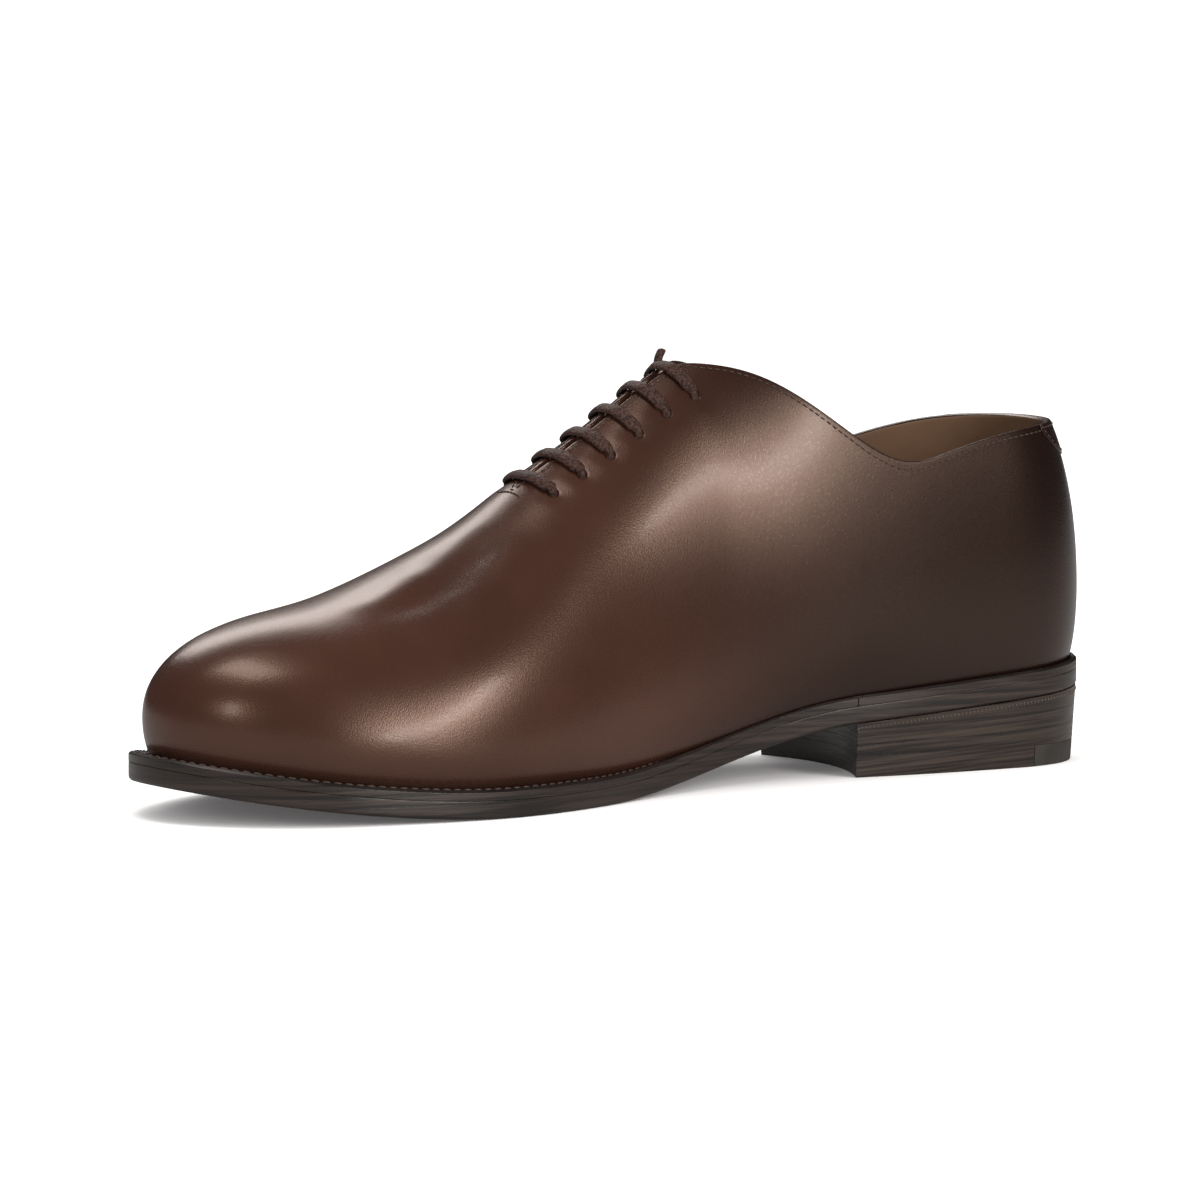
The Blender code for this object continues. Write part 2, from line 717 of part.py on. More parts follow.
def breast_points(inner, outer):
    """The hollow front of the heel, between its two corners."""
    points = []
    for i in range(1, BREAST_STEPS):
        t = i / BREAST_STEPS
        hollow = BREAST_HOLLOW * (1 - (2 * t - 1) ** 2)
        points.append((outer[0] + (inner[0] - outer[0]) * t - hollow, outer[1] + (inner[1] - outer[1]) * t))
    return points


def seat_station(side, x):
    """Station of the heel's edge at x, straight or on the round of the heel."""
    if x >= HEEL_POLE:
        return x, STRAIGHT
    low, high = STRAIGHT, math.pi
    for _ in range(HALVINGS):
        turn = (low + high) / 2
        if sole_edge(side, (HEEL_POLE, turn))[0] > x:
            low = turn
        else:
            high = turn
    return HEEL_POLE, low


def build_heel_layer(name, material, route, low, high, hollow):
    """A layer of the heel between two heights, given as functions of x."""
    bm = bmesh.new()
    loops = []
    for level in (low, high):
        points = [heel_edge(side, station, level(HEEL_POLE)) for side, station in route]
        if hollow:
            points += breast_points(points[0], points[-1])
        loops.append([(x, y, level(x)) for x, y in points])
    rings = add_loops(bm, loops)
    for ring in rings:
        bm.faces.new(ring)
    return finish(name, bm, material, SOLE_SHARP)


def build_lifts(material):
    def boundary(step):
        return lambda x: TOP_PIECE_THICKNESS + (sole_under(x) - TOP_PIECE_THICKNESS) * step / HEEL_LIFTS

    route = heel_side(INNER, BREAST_INNER) + heel_side(OUTER, BREAST_OUTER)[-2::-1]
    for step in range(HEEL_LIFTS):
        low, high = boundary(step), boundary(step + 1)
        name = f"heel_lift_{step + 1}"
        yield build_heel_layer(name, material, route, low, lambda x: high(x) - CLEARANCE, True)


def top_piece_height(x):
    return TOP_PIECE_THICKNESS - CLEARANCE


def floor(x):
    return 0.0


def round_stations(side, start, end):
    """Stations of the heel's edge strictly between two distances from the back of the sole."""
    stations = [s for s in HEEL_STATIONS + BACK_STATIONS if start < sole_edge(side, s)[0] < end]
    return [(side, s) for s in stations]


def build_rubber(material):
    gap = CLEARANCE / 2
    inner, outer = RUBBER_FRONT_INNER - gap, RUBBER_FRONT_OUTER - gap
    route = [(INNER, seat_station(INNER, inner))] + round_stations(INNER, -CORNER_SKIP, inner - CORNER_SKIP)[::-1]
    route += round_stations(OUTER, CORNER_SKIP, outer - CORNER_SKIP) + [(OUTER, seat_station(OUTER, outer))]
    return build_heel_layer("top_piece_rubber", material, route, floor, top_piece_height, False)


def pin_places():
    for along, across in PIN_GROUPS:
        for i in range(PINS_IN_GROUP):
            angle = math.tau * i / PINS_IN_GROUP
            yield along + PIN_SPREAD * math.cos(angle), across + PIN_SPREAD * math.sin(angle)


def add_pin(bm, x, y, low, high, radius):
    rings = add_loops(bm, [
        [(x + radius * math.cos(math.tau * i / PIN_SIDES), y + radius * math.sin(math.tau * i / PIN_SIDES), z)
         for i in range(PIN_SIDES)]
        for z in (low, high)
    ])
    for ring in rings:
        bm.faces.new(ring)


def build_leather_half(material):
    gap = CLEARANCE / 2
    inner, outer = RUBBER_FRONT_INNER + gap, RUBBER_FRONT_OUTER + gap
    route = [(INNER, (BREAST_INNER, STRAIGHT))]
    route += round_stations(INNER, inner + CORNER_SKIP, BREAST_INNER - CORNER_SKIP)[::-1]
    route += [(INNER, seat_station(INNER, inner)), (OUTER, seat_station(OUTER, outer))]
    route += round_stations(OUTER, outer + CORNER_SKIP, BREAST_OUTER - CORNER_SKIP)
    route += [(OUTER, (BREAST_OUTER, STRAIGHT))]
    half = build_heel_layer("top_piece_leather", material, route, floor, top_piece_height, True)
    bm = bmesh.new()
    for x, y in pin_places():
        add_pin(bm, x, y, -PIN_LENGTH, PIN_SUNK + PIN_LENGTH + CLEARANCE, PIN_RADIUS + CLEARANCE)
    holes = finish("pin_holes", bm, material)
    holes.hide_render = True
    holes.display_type = "WIRE"
    cut = half.modifiers.new("Pin holes", "BOOLEAN")
    cut.operation = "DIFFERENCE"
    cut.object = holes
    cut.solver = "EXACT"
    return half, holes


def build_pins(material):
    for number, (x, y) in enumerate(pin_places(), 1):
        bm = bmesh.new()
        add_pin(bm, x, y, PIN_SUNK, PIN_SUNK + PIN_LENGTH, PIN_RADIUS)
        yield finish(f"brass_pin_{number:02d}", bm, material, SOLE_SHARP)


# Lace


def build_lace_bar(number, column, material):
    """A straight bar of flat lace from the inner eyelet over the slit to the outer one."""
    station = SIDE_STATIONS[column]
    half = (LACE_POINTS - 1) // 2
    loops = []
    for step in range(-half, half + 1):
        side = INNER if step <= 0 else OUTER
        start = ROW_LEVELS[side][column][EYELET_ROW]
        level = 1 - (1 - start) * abs(step) / half
        normal = last_normal(station, side, level)
        if step == 0:
            normal.y = 0.0
            normal.normalize()
        arch = LACE_ARCH * (1 - (step / half) ** 2)
        centre = last_point(station, side, level) + normal * (CLEARANCE + LACE_THICKNESS / 2 + arch)
        loops.append((centre, normal))
    bm = bmesh.new()
    rings = []
    for i, (centre, normal) in enumerate(loops):
        before, after = loops[max(i - 1, 0)][0], loops[min(i + 1, len(loops) - 1)][0]
        sideways = normal.cross(after - before).normalized()
        ring = []
        for k in range(LACE_SIDES):
            angle = math.tau * k / LACE_SIDES
            out = sideways * (LACE_WIDTH * math.cos(angle)) + normal * (LACE_THICKNESS * math.sin(angle))
            ring.append(centre + out / 2)
        rings.append(ring)
    made = add_loops(bm, rings)
    for ring in (made[0], made[-1]):
        bm.faces.new(ring)
    return finish(f"lace_bar_{number}", bm, material, LACE_SHARP)


def main():
    for piece in list(bpy.data.objects):
        bpy.data.objects.remove(piece)

    calf = principled("brown_calf", (0.075, 0.028, 0.018), 0.28)
    lining = principled("lining_leather", (0.20, 0.12, 0.07), 0.6)
    edge = principled("burnished_edge", (0.018, 0.012, 0.009), 0.3)
    bottom = principled("sole_leather", (0.060, 0.014, 0.012), 0.3)
    stack = principled("stacked_leather", (0.022, 0.015, 0.011), 0.3)
    rubber = principled("grey_rubber", (0.060, 0.055, 0.045), 0.6)
    brass = principled("brass", (0.55, 0.36, 0.16), 0.35, 1.0)
    lace = principled("waxed_lace", (0.060, 0.026, 0.018), 0.6)

    pieces = [
        build_upper(calf),
        build_heel_strip(calf),
        build_tongue(calf),
        build_insole(lining),
        build_outsole(bottom),
        build_welt("welt", edge, forepart_route()),
        build_welt("rand", edge, seat_route()),
        *build_lifts(stack),
        build_rubber(rubber),
        *build_leather_half(bottom),
        *build_pins(brass),
    ]
    for number, column in enumerate(EYELET_COLUMNS, 1):
        pieces.append(build_lace_bar(number, column, lace))

    edges = [sole_edge(side, station) for side in SIDES for station in STATIONS]
    xs = [x_at(0.0)] + [x for x, _ in edges]
    ys = [y for _, y in edges]
    shoe = bpy.data.objects.new("shoe", None)
    shoe.location = (-(min(xs) + max(xs)) / 2, -(min(ys) + max(ys)) / 2, 0.0)
    bpy.context.scene.collection.objects.link(shoe)
    for piece in pieces:
        piece.parent = shoe


main()
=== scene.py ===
"""Looks of a whole cut oxford: polished calf upper, waxed lace, welted leather sole and stacked heel."""

import math

import bmesh
import bpy
import numpy as np
from mathutils import Matrix, Vector
from mathutils.bvhtree import BVHTree
from mathutils.kdtree import KDTree


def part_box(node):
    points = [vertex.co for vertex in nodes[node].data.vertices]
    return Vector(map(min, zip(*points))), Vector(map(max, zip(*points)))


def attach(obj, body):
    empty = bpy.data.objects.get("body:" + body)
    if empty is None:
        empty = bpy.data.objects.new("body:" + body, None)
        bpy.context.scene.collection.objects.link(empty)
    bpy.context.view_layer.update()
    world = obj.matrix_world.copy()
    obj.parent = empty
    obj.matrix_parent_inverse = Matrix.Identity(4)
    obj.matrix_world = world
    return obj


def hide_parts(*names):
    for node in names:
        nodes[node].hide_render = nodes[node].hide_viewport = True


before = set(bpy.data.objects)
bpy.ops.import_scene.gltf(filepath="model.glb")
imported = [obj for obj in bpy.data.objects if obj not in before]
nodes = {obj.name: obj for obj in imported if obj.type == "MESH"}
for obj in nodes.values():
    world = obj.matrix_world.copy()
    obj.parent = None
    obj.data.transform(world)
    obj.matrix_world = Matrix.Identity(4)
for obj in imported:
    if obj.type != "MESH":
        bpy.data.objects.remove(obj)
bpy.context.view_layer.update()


# Camera: a long lens on the inner side of the toe, far off and a little above the shoe.

AIM = Vector((0.004, 0.0, 0.052))
VIEW_AZIMUTH = math.radians(149)
VIEW_ELEVATION = math.radians(5.6)
VIEW_DISTANCE = 2.0
LENS_MM = 214

level_reach = VIEW_DISTANCE * math.cos(VIEW_ELEVATION)
camera = bpy.data.objects.new("camera", bpy.data.cameras.new("camera"))
camera.data.lens = LENS_MM
camera.location = AIM + Vector((
    level_reach * math.sin(VIEW_AZIMUTH),
    -level_reach * math.cos(VIEW_AZIMUTH),
    VIEW_DISTANCE * math.sin(VIEW_ELEVATION),
))
camera.rotation_euler = (AIM - camera.location).to_track_quat("-Z", "Y").to_euler()
bpy.context.scene.collection.objects.link(camera)
bpy.context.scene.camera = camera


# Studio light: long soft boxes, one slanted along the inner side, one over the toe, one in front of it and
# one behind the outer side. The mirrored room is dark, so that the polished leather shows soft highlights.

LIGHTS = [
    # name, low end, high end, width, watts
    ("inner_box", (-0.08, 1.40, 0.05), (-0.64, 1.03, 0.90), 0.13, 11.0),
    ("overhead_box", (0.42, -0.35, 1.20), (0.42, 0.35, 1.20), 0.34, 4.5),
    ("toe_box", (1.35, 0.80, 0.40), (1.22, 0.70, 0.80), 0.22, 2.6),
    ("outer_rim", (0.10, -1.35, 0.85), (-0.90, -1.20, 1.15), 0.50, 7.0),
]
LIGHT_COLOUR = (1.0, 0.955, 0.92)
LIGHT_AIM = Vector((0.02, 0.0, 0.05))

for name, low, high, width, watts in LIGHTS:
    light = bpy.data.lights.new(name, "AREA")
    light.shape = "RECTANGLE"
    light.size = width
    light.size_y = (Vector(high) - Vector(low)).length
    light.energy = watts
    light.color = LIGHT_COLOUR
    away = ((Vector(low) + Vector(high)) / 2 - LIGHT_AIM).normalized()
    along = Vector(high) - Vector(low)
    along = (along - away * along.dot(away)).normalized()
    lamp = bpy.data.objects.new(name, light)
    lamp.location = (Vector(low) + Vector(high)) / 2
    lamp.rotation_euler = Matrix((along.cross(away), along, away)).transposed().to_euler()
    bpy.context.scene.collection.objects.link(lamp)


def put(tree, kind, **sockets):
    """A shader node whose sockets hold plain values or are fed by other nodes' sockets."""
    node = tree.nodes.new("ShaderNode" + kind)
    for name, value in sockets.items():
        socket = node.inputs[name.replace("_", " ")]
        if isinstance(value, bpy.types.NodeSocket):
            tree.links.new(value, socket)
        else:
            socket.default_value = value
    return node


WORLD_SEEN = (1.0, 1.0, 1.0, 1.0)
WORLD_LIGHT = (1.0, 1.0, 1.0, 1.0)
WORLD_MIRRORED = (0.035, 0.035, 0.035, 1.0)

bpy.context.scene.view_settings.view_transform = "Standard"

world = bpy.data.worlds.new("studio")
world.use_nodes = True
world.node_tree.nodes.clear()
seen = put(world.node_tree, "Background", Color=WORLD_SEEN, Strength=1.0)
lit = put(world.node_tree, "Background", Color=WORLD_LIGHT, Strength=1.0)
mirrored = put(world.node_tree, "Background", Color=WORLD_MIRRORED, Strength=1.0)
rays = put(world.node_tree, "LightPath")
unseen = put(world.node_tree, "MixShader", Fac=rays.outputs["Is Glossy Ray"])
world.node_tree.links.new(lit.outputs[0], unseen.inputs[1])
world.node_tree.links.new(mirrored.outputs[0], unseen.inputs[2])
choice = put(world.node_tree, "MixShader", Fac=rays.outputs["Is Camera Ray"])
world.node_tree.links.new(unseen.outputs[0], choice.inputs[1])
world.node_tree.links.new(seen.outputs[0], choice.inputs[2])
sky = put(world.node_tree, "OutputWorld")
world.node_tree.links.new(choice.outputs[0], sky.inputs["Surface"])
bpy.context.scene.world = world


# Floor: a plain pale sheet of studio card. It is no part of the shoe.

FLOOR_SIZE = 60.0
FLOOR_COLOUR = (1.0, 1.0, 1.0)
FLOOR_BOUNCE = (0.30, 0.30, 0.30, 1.0)
CARD_GLOW = 0.07
CARD_GRAIN = 900.0


def new_material(name, colour, roughness):
    """A Principled material, its node tree and its shader."""
    material = bpy.data.materials.new(name)
    material.use_nodes = True
    shader = material.node_tree.nodes["Principled BSDF"]
    shader.inputs["Base Color"].default_value = (*colour, 1.0)
    shader.inputs["Roughness"].default_value = roughness
    return material, material.node_tree, shader


card, card_tree, card_shader = new_material("studio_card", FLOOR_COLOUR, 0.85)
card_place = put(card_tree, "TexCoord").outputs["Object"]
card_noise = put(card_tree, "TexNoise", Vector=card_place, Scale=CARD_GRAIN, Detail=3.0)
card_bump = put(card_tree, "Bump", Strength=0.05, Distance=0.0002, Height=card_noise.outputs["Fac"])
card_tree.links.new(card_bump.outputs["Normal"], card_shader.inputs["Normal"])
card_shader.inputs["Specular IOR Level"].default_value = 0.0
card_seen = put(card_tree, "LightPath").outputs["Is Camera Ray"]
card_colour = put(card_tree, "MixRGB", Fac=card_seen, Color1=FLOOR_BOUNCE, Color2=(*FLOOR_COLOUR, 1.0))
card_tree.links.new(card_colour.outputs["Color"], card_shader.inputs["Base Color"])
card_shader.inputs["Emission Color"].default_value = (1.0, 1.0, 1.0, 1.0)
card_shader.inputs["Emission Strength"].default_value = CARD_GLOW

floor_bm = bmesh.new()
bmesh.ops.create_grid(floor_bm, x_segments=1, y_segments=1, size=FLOOR_SIZE)
floor_mesh = bpy.data.meshes.new("floor")
floor_bm.to_mesh(floor_mesh)
floor_bm.free()
floor_mesh.materials.append(card)
floor = bpy.data.objects.new("floor", floor_mesh)
bpy.context.scene.collection.objects.link(floor)


# Upper: one cut of polished calf, pulled over the last and sewn to the welt, with a tan lining. Its wall
# turns over in a round edge at the topline and at the throat. The lace and the last leave soft troughs and
# ridges in it.

CALF_DARK = (0.0075, 0.0030, 0.0022, 1.0)
CALF_BROWN = (0.052, 0.0200, 0.0128, 1.0)
LINING_TAN = (0.17, 0.095, 0.052, 1.0)
LINING_DARK = (0.105, 0.055, 0.030, 1.0)
MERGE_DISTANCE = 1e-5
FACE_ANGLE = math.radians(50)
SHAPE_ANGLE = math.radians(60)
RIM_ANGLE = math.radians(60)
RIM_ROUND = 0.00045
FEATHER_BAND = 0.008
FEATHER_STEPS = 8
MOTTLE_SHADE = 0.72
# Painted shade next to the sole: the share of the calf's colour that is left at the feather line.
SOLE_SHADE = 0.12
# Painted shade towards the heel: the share of the calf's colour that is left behind HEEL_SHADE_TO, fading in
# from HEEL_SHADE_FROM.
HEEL_SHADE = 0.05
HEEL_SHADE_FROM = 0.010
HEEL_SHADE_TO = -0.065
CALF_GLOSS_TINT = (1.0, 0.70, 0.56, 1.0)
# Middle of the foot, place along the shoe and height: the wall is pulled towards it.
FOOT_AXIS = [(-0.115, 0.055), (-0.050, 0.055), (0.000, 0.045), (0.050, 0.030), (0.095, 0.022)]
# Soft troughs, and ridges where the depth is negative.
SOFT_LINES = [
    # depth, half width, places that the line runs through
    (0.0012, 0.0085, [
        (0.043, 0.006, 0.0765), (0.0525, 0.0153, 0.069), (0.0653, 0.0213, 0.0616), (0.090, 0.0267, 0.052),
    ]),
    (-0.0008, 0.0080, [
        (0.0388, 0.0169, 0.0747), (0.0457, 0.0226, 0.0677), (0.0535, 0.0283, 0.0608), (0.0707, 0.033, 0.0525),
    ]),
    (-0.0005, 0.0085, [(0.065, 0.007, 0.067), (0.078, 0.015, 0.060), (0.095, 0.020, 0.053)]),
]
SOFT_END = 3.5
EYELET_PULL = 0.0005
EYELET_PULL_REACH = 0.0065
TOP_STITCH_INSET = 0.0019


def new_group(name, inputs, outputs):
    """A shader node group with float inputs and float outputs, and its two end nodes."""
    tree = bpy.data.node_groups.new(name, "ShaderNodeTree")
    for socket, value in inputs:
        made = tree.interface.new_socket(socket, in_out="INPUT", socket_type="NodeSocketFloat")
        made.default_value = value
    for socket in outputs:
        tree.interface.new_socket(socket, in_out="OUTPUT", socket_type="NodeSocketFloat")
    return tree, tree.nodes.new("NodeGroupInput").outputs, tree.nodes.new("NodeGroupOutput").inputs


def use_group(tree, group, **values):
    """The outputs of a shader node group that is used in a material."""
    node = tree.nodes.new("ShaderNodeGroup")
    node.node_tree = group
    for name, value in values.items():
        node.inputs[name.replace("_", " ")].default_value = value
    return node.outputs


def reckon(tree, operation, *values):
    """The result of a math node, from plain values or from other nodes' sockets."""
    node = tree.nodes.new("ShaderNodeMath")
    node.operation = operation
    for socket, value in zip(node.inputs, values):
        if isinstance(value, bpy.types.NodeSocket):
            tree.links.new(value, socket)
        else:
            socket.default_value = value
    return node.outputs["Value"]


# Grain: pores and fine pits for the bump, and a slow mottle for the colour.
grain_sizes = [("Pores", 1500.0), ("Mottle Size", 30.0), ("Pore Share", 0.5)]
grain, grain_in, grain_out = new_group("leather_grain", grain_sizes, ["Height", "Mottle", "Fine"])
grain_place = put(grain, "TexCoord").outputs["Object"]
pores = put(grain, "TexVoronoi", Vector=grain_place, Scale=grain_in["Pores"])
pits = put(grain, "TexNoise", Vector=grain_place, Scale=grain_in["Pores"], Detail=4.0, Roughness=0.6)
both = put(
    grain, "MixRGB", Fac=grain_in["Pore Share"], Color1=pits.outputs["Fac"], Color2=pores.outputs["Distance"]
)
slow = put(grain, "TexNoise", Vector=grain_place, Scale=grain_in["Mottle Size"], Detail=3.0, Roughness=0.55)
spread = put(grain, "MapRange", Value=slow.outputs["Fac"], From_Min=0.35, From_Max=0.65)
grain.links.new(both.outputs["Color"], grain_out["Height"])
grain.links.new(spread.outputs["Result"], grain_out["Mottle"])
grain.links.new(pits.outputs["Fac"], grain_out["Fine"])


def leather(name, dark, light, roughness, gloss_spread, bump_depth, pores=1500.0, mottle=30.0):
    """A leather with mottled colour, uneven gloss and a pored surface."""
    material, tree, shader = new_material(name, light[:3], roughness)
    parts = use_group(tree, grain, Pores=pores, Mottle_Size=mottle)
    colour = put(tree, "MixRGB", Fac=parts["Mottle"], Color1=dark, Color2=light)
    gloss = put(
        tree, "MapRange", Value=parts["Fine"], To_Min=roughness - gloss_spread,
        To_Max=roughness + gloss_spread,
    )
    bump = put(tree, "Bump", Strength=0.6, Distance=bump_depth, Height=parts["Height"])
    tree.links.new(colour.outputs["Color"], shader.inputs["Base Color"])
    tree.links.new(gloss.outputs["Result"], shader.inputs["Roughness"])
    tree.links.new(bump.outputs["Normal"], shader.inputs["Normal"])
    return material, tree, shader, colour


calf, calf_tree, calf_shader, calf_colour = leather(
    "polished_calf", CALF_DARK, CALF_BROWN, 0.29, 0.07, 0.00007, 2300.0, 22.0
)
calf_mottle = calf_colour.inputs["Fac"].links[0].from_socket
calf_shade = put(calf_tree, "MapRange", Value=calf_mottle, To_Min=MOTTLE_SHADE, To_Max=1.0).outputs["Result"]
# Painted shade: next to the sole the calf darkens along the near_sole band, down to SOLE_SHADE of its mottled
# colour.
near_sole = calf_tree.nodes.new("ShaderNodeAttribute")
near_sole.attribute_name = "near_sole"
painted_sole_shade = put(calf_tree, "MapRange", Value=near_sole.outputs["Fac"], To_Min=1.0, To_Max=SOLE_SHADE)
# Painted shade: the calf darkens towards the heel, down to HEEL_SHADE of its colour.
calf_place = put(calf_tree, "SeparateXYZ", Vector=put(calf_tree, "TexCoord").outputs["Object"])
painted_heel_shade = put(
    calf_tree, "MapRange", Value=calf_place.outputs["X"], From_Min=HEEL_SHADE_TO, From_Max=HEEL_SHADE_FROM,
    To_Min=HEEL_SHADE, To_Max=1.0,
).outputs["Result"]
mottle_and_painted_shade = reckon(calf_tree, "MULTIPLY", calf_shade, painted_sole_shade.outputs["Result"])
calf_tree.links.new(reckon(calf_tree, "MULTIPLY", mottle_and_painted_shade, painted_heel_shade), calf_colour.inputs["Fac"])
calf_shader.inputs["Specular IOR Level"].default_value = 0.65
calf_shader.inputs["Specular Tint"].default_value = CALF_GLOSS_TINT
calf_shader.inputs["Coat Weight"].default_value = 0.12
calf_shader.inputs["Coat Roughness"].default_value = 0.14

lining, *_ = leather("lining_leather", LINING_DARK, LINING_TAN, 0.62, 0.08, 0.00010, 1100.0, 18.0)


def merged_copy(node):
    """A CAD piece's mesh, with its loose triangles merged and paired into four-sided faces."""
    bm = bmesh.new()
    bm.from_mesh(nodes[node].data)
    bmesh.ops.remove_doubles(bm, verts=bm.verts, dist=MERGE_DISTANCE)
    bmesh.ops.join_triangles(
        bm, faces=bm.faces, angle_face_threshold=FACE_ANGLE, angle_shape_threshold=SHAPE_ANGLE
    )
    bm.normal_update()
    return bm


def round_edges(bm, angle, width):
    """Bevel the edges that turn more than angle."""
    sharp = [edge for edge in bm.edges if edge.is_manifold and edge.calc_face_angle(0.0) > angle]
    bmesh.ops.bevel(
        bm, geom=sharp, offset=width, affect="EDGES", segments=2, profile=0.5, material=-1, clamp_overlap=True
    )


def add_piece(name, bm, materials, stands_for=(), levels=0):
    """A finished piece on the shoe's one body."""
    mesh = bpy.data.meshes.new(name)
    bm.to_mesh(mesh)
    bm.free()
    for material in materials:
        mesh.materials.append(material)
    mesh.shade_smooth()
    piece = bpy.data.objects.new(name, mesh)
    bpy.context.scene.collection.objects.link(piece)
    if levels:
        smooth = piece.modifiers.new("Subdivision", "SUBSURF")
        smooth.levels = levels
        smooth.render_levels = levels
    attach(piece, "root")
    if stands_for:
        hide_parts(*stands_for)
    return piece


def applied(piece):
    """The piece's mesh with its modifiers applied, as a bmesh."""
    shape = piece.evaluated_get(bpy.context.evaluated_depsgraph_get())
    bm = bmesh.new()
    bm.from_mesh(shape.to_mesh())
    shape.to_mesh_clear()
    return bm


def foot_middle(place):
    """The middle of the foot beside a place."""
    x = min(max(place.x, FOOT_AXIS[0][0]), FOOT_AXIS[-1][0])
    height = np.interp(x, [row[0] for row in FOOT_AXIS], [row[1] for row in FOOT_AXIS])
    return Vector((x, 0.0, float(height)))


def sheets(bm):
    """The faces on each side of a thin wall: sets bounded by sharp edges, the largest first."""
    left = {face.index: face for face in bm.faces}
    found = []
    while left:
        front = [left.pop(min(left))]
        sheet = list(front)
        while front:
            edges = [edge for face in front for edge in face.edges if edge.calc_face_angle(0.0) < RIM_ANGLE]
            front = [left.pop(f.index) for edge in edges for f in edge.link_faces if f.index in left]
            sheet += front
        found.append(sheet)
    return sorted(found, key=lambda sheet: -sum(face.calc_area() for face in sheet))


def closed_loops(edges):
    """Rings of vertices in order, from edges that form closed rings."""
    left = {edge.index: edge for edge in edges}
    loops = []
    while left:
        edge = left.pop(min(left))
        loop = list(edge.verts)
        while True:
            onward = [link for link in loop[-1].link_edges if link.index in left]
            if not onward:
                break
            left.pop(onward[0].index)
            loop.append(onward[0].other_vert(loop[-1]))
        loops.append(loop[:-1])
    return loops


def girth(points):
    """Length of a closed line."""
    return sum((a - b).length for a, b in zip(points, points[1:] + points[:1]))


def rim_line(loop, inset):
    """Points inset from a rim along the wall's outer face."""
    points = []
    for i, vert in enumerate(loop):
        along = (loop[(i + 1) % len(loop)].co - loop[i - 1].co).normalized()
        outer = [face for face in vert.link_faces if face.tag]
        normal = sum((face.normal for face in outer), Vector()).normalized()
        middle = sum((face.calc_center_median() for face in outer), Vector()) / len(outer)
        across = along.cross(normal).normalized()
        points.append(vert.co + across * math.copysign(inset, across.dot(middle - vert.co)))
    return points


def outer_rims(bm):
    """Rims of a thin wall's outer sheet, the shortest first. The sheet's faces are left tagged."""
    outer = sheets(bm)[0]
    for face in bm.faces:
        face.tag = False
    for face in outer:
        face.tag = True
    edges = [edge for edge in bm.edges if sum(face.tag for face in edge.link_faces) == 1]
    return sorted(closed_loops(edges), key=lambda loop: girth([vert.co for vert in loop]))


upper_bm = merged_copy("upper")
for face in sheets(upper_bm)[1]:
    face.material_index = 1
rims = outer_rims(upper_bm)
eyelets = [sum((vert.co for vert in loop), Vector()) / len(loop) for loop in rims[:-2]]
top_loop, feather_loop = rims[-2:]
top_stitch_line = rim_line(top_loop, TOP_STITCH_INSET)
slit_end = max((vert.co for vert in top_loop), key=lambda place: place.x).copy()
feather_points = [vert.co.copy() for vert in feather_loop]
round_edges(upper_bm, RIM_ANGLE, RIM_ROUND)
upper_base = add_piece("upper_base", upper_bm, [calf, lining], levels=2)
upper_bm = applied(upper_base)
bpy.data.objects.remove(upper_base)


def ease(t):
    """0 below 0, 1 above 1 and a smooth step between."""
    t = min(max(t, 0.0), 1.0)
    return t * t * (3 - 2 * t)


def line_pull(place, line, half_width):
    """Share of a soft line's depth at a place: whole on the line, fading to its sides and its two ends."""
    ends = [(Vector(a), Vector(b)) for a, b in zip(line, line[1:])]
    whole = sum((b - a).length for a, b in ends)
    best, done = 0.0, 0.0
    for a, b in ends:
        size = (b - a).length
        share = min(max((place - a).dot(b - a) / size**2, 0.0), 1.0)
        near = (place - a.lerp(b, share)).length
        along = (done + size * share) / whole
        best = max(best, ease(1 - near / half_width) * ease(SOFT_END * min(along, 1 - along)))
        done += size
    return best


for vert in upper_bm.verts:
    depth = sum(deep * line_pull(vert.co, line, half) for deep, half, line in SOFT_LINES)
    for hole in eyelets:
        depth += EYELET_PULL * ease(1 - (vert.co - hole).length / EYELET_PULL_REACH)
    if depth:
        vert.co += (foot_middle(vert.co) - vert.co).normalized() * depth

# The near_sole band is 1 at the feather line and 0 from FEATHER_BAND up. It carries the calf's painted shade
# next to the sole.
feather = KDTree(len(feather_points) * FEATHER_STEPS)
for i, (a, b) in enumerate(zip(feather_points, feather_points[1:] + feather_points[:1])):
    for step in range(FEATHER_STEPS):
        feather.insert(a.lerp(b, step / FEATHER_STEPS), i * FEATHER_STEPS + step)
feather.balance()
near_layer = upper_bm.verts.layers.float.new("near_sole")
for vert in upper_bm.verts:
    vert[near_layer] = 1 - ease(feather.find(vert.co)[2] / FEATHER_BAND)
upper_bm.normal_update()
upper_skin = BVHTree.FromBMesh(upper_bm)
upper = add_piece("upper_leather", upper_bm, [calf, lining], ["upper"])


# Topline stitches: waxed thread that holds the lining to the calf, in one row under the topline and down both
# sides of the throat. A short tack crosses the lower end of the slit.

THREAD_DARK = (0.012, 0.007, 0.006)
TOP_STITCH_PITCH = 0.0021
TOP_STITCH_LENGTH = 0.0016
TOP_STITCH_WIDTH = 0.00050
TOP_STITCH_SUNK = 0.00018
SEAM_STITCH_SUNK = 0.00022
TACK_HALF = 0.0055
TACK_AHEAD = 0.0022
TACK_PITCH = 0.00168
TACK_SUNK = 0.00014
CURVE_STEPS = 6
DOWN = Vector((0, 0, -1))
ABOVE = 0.3

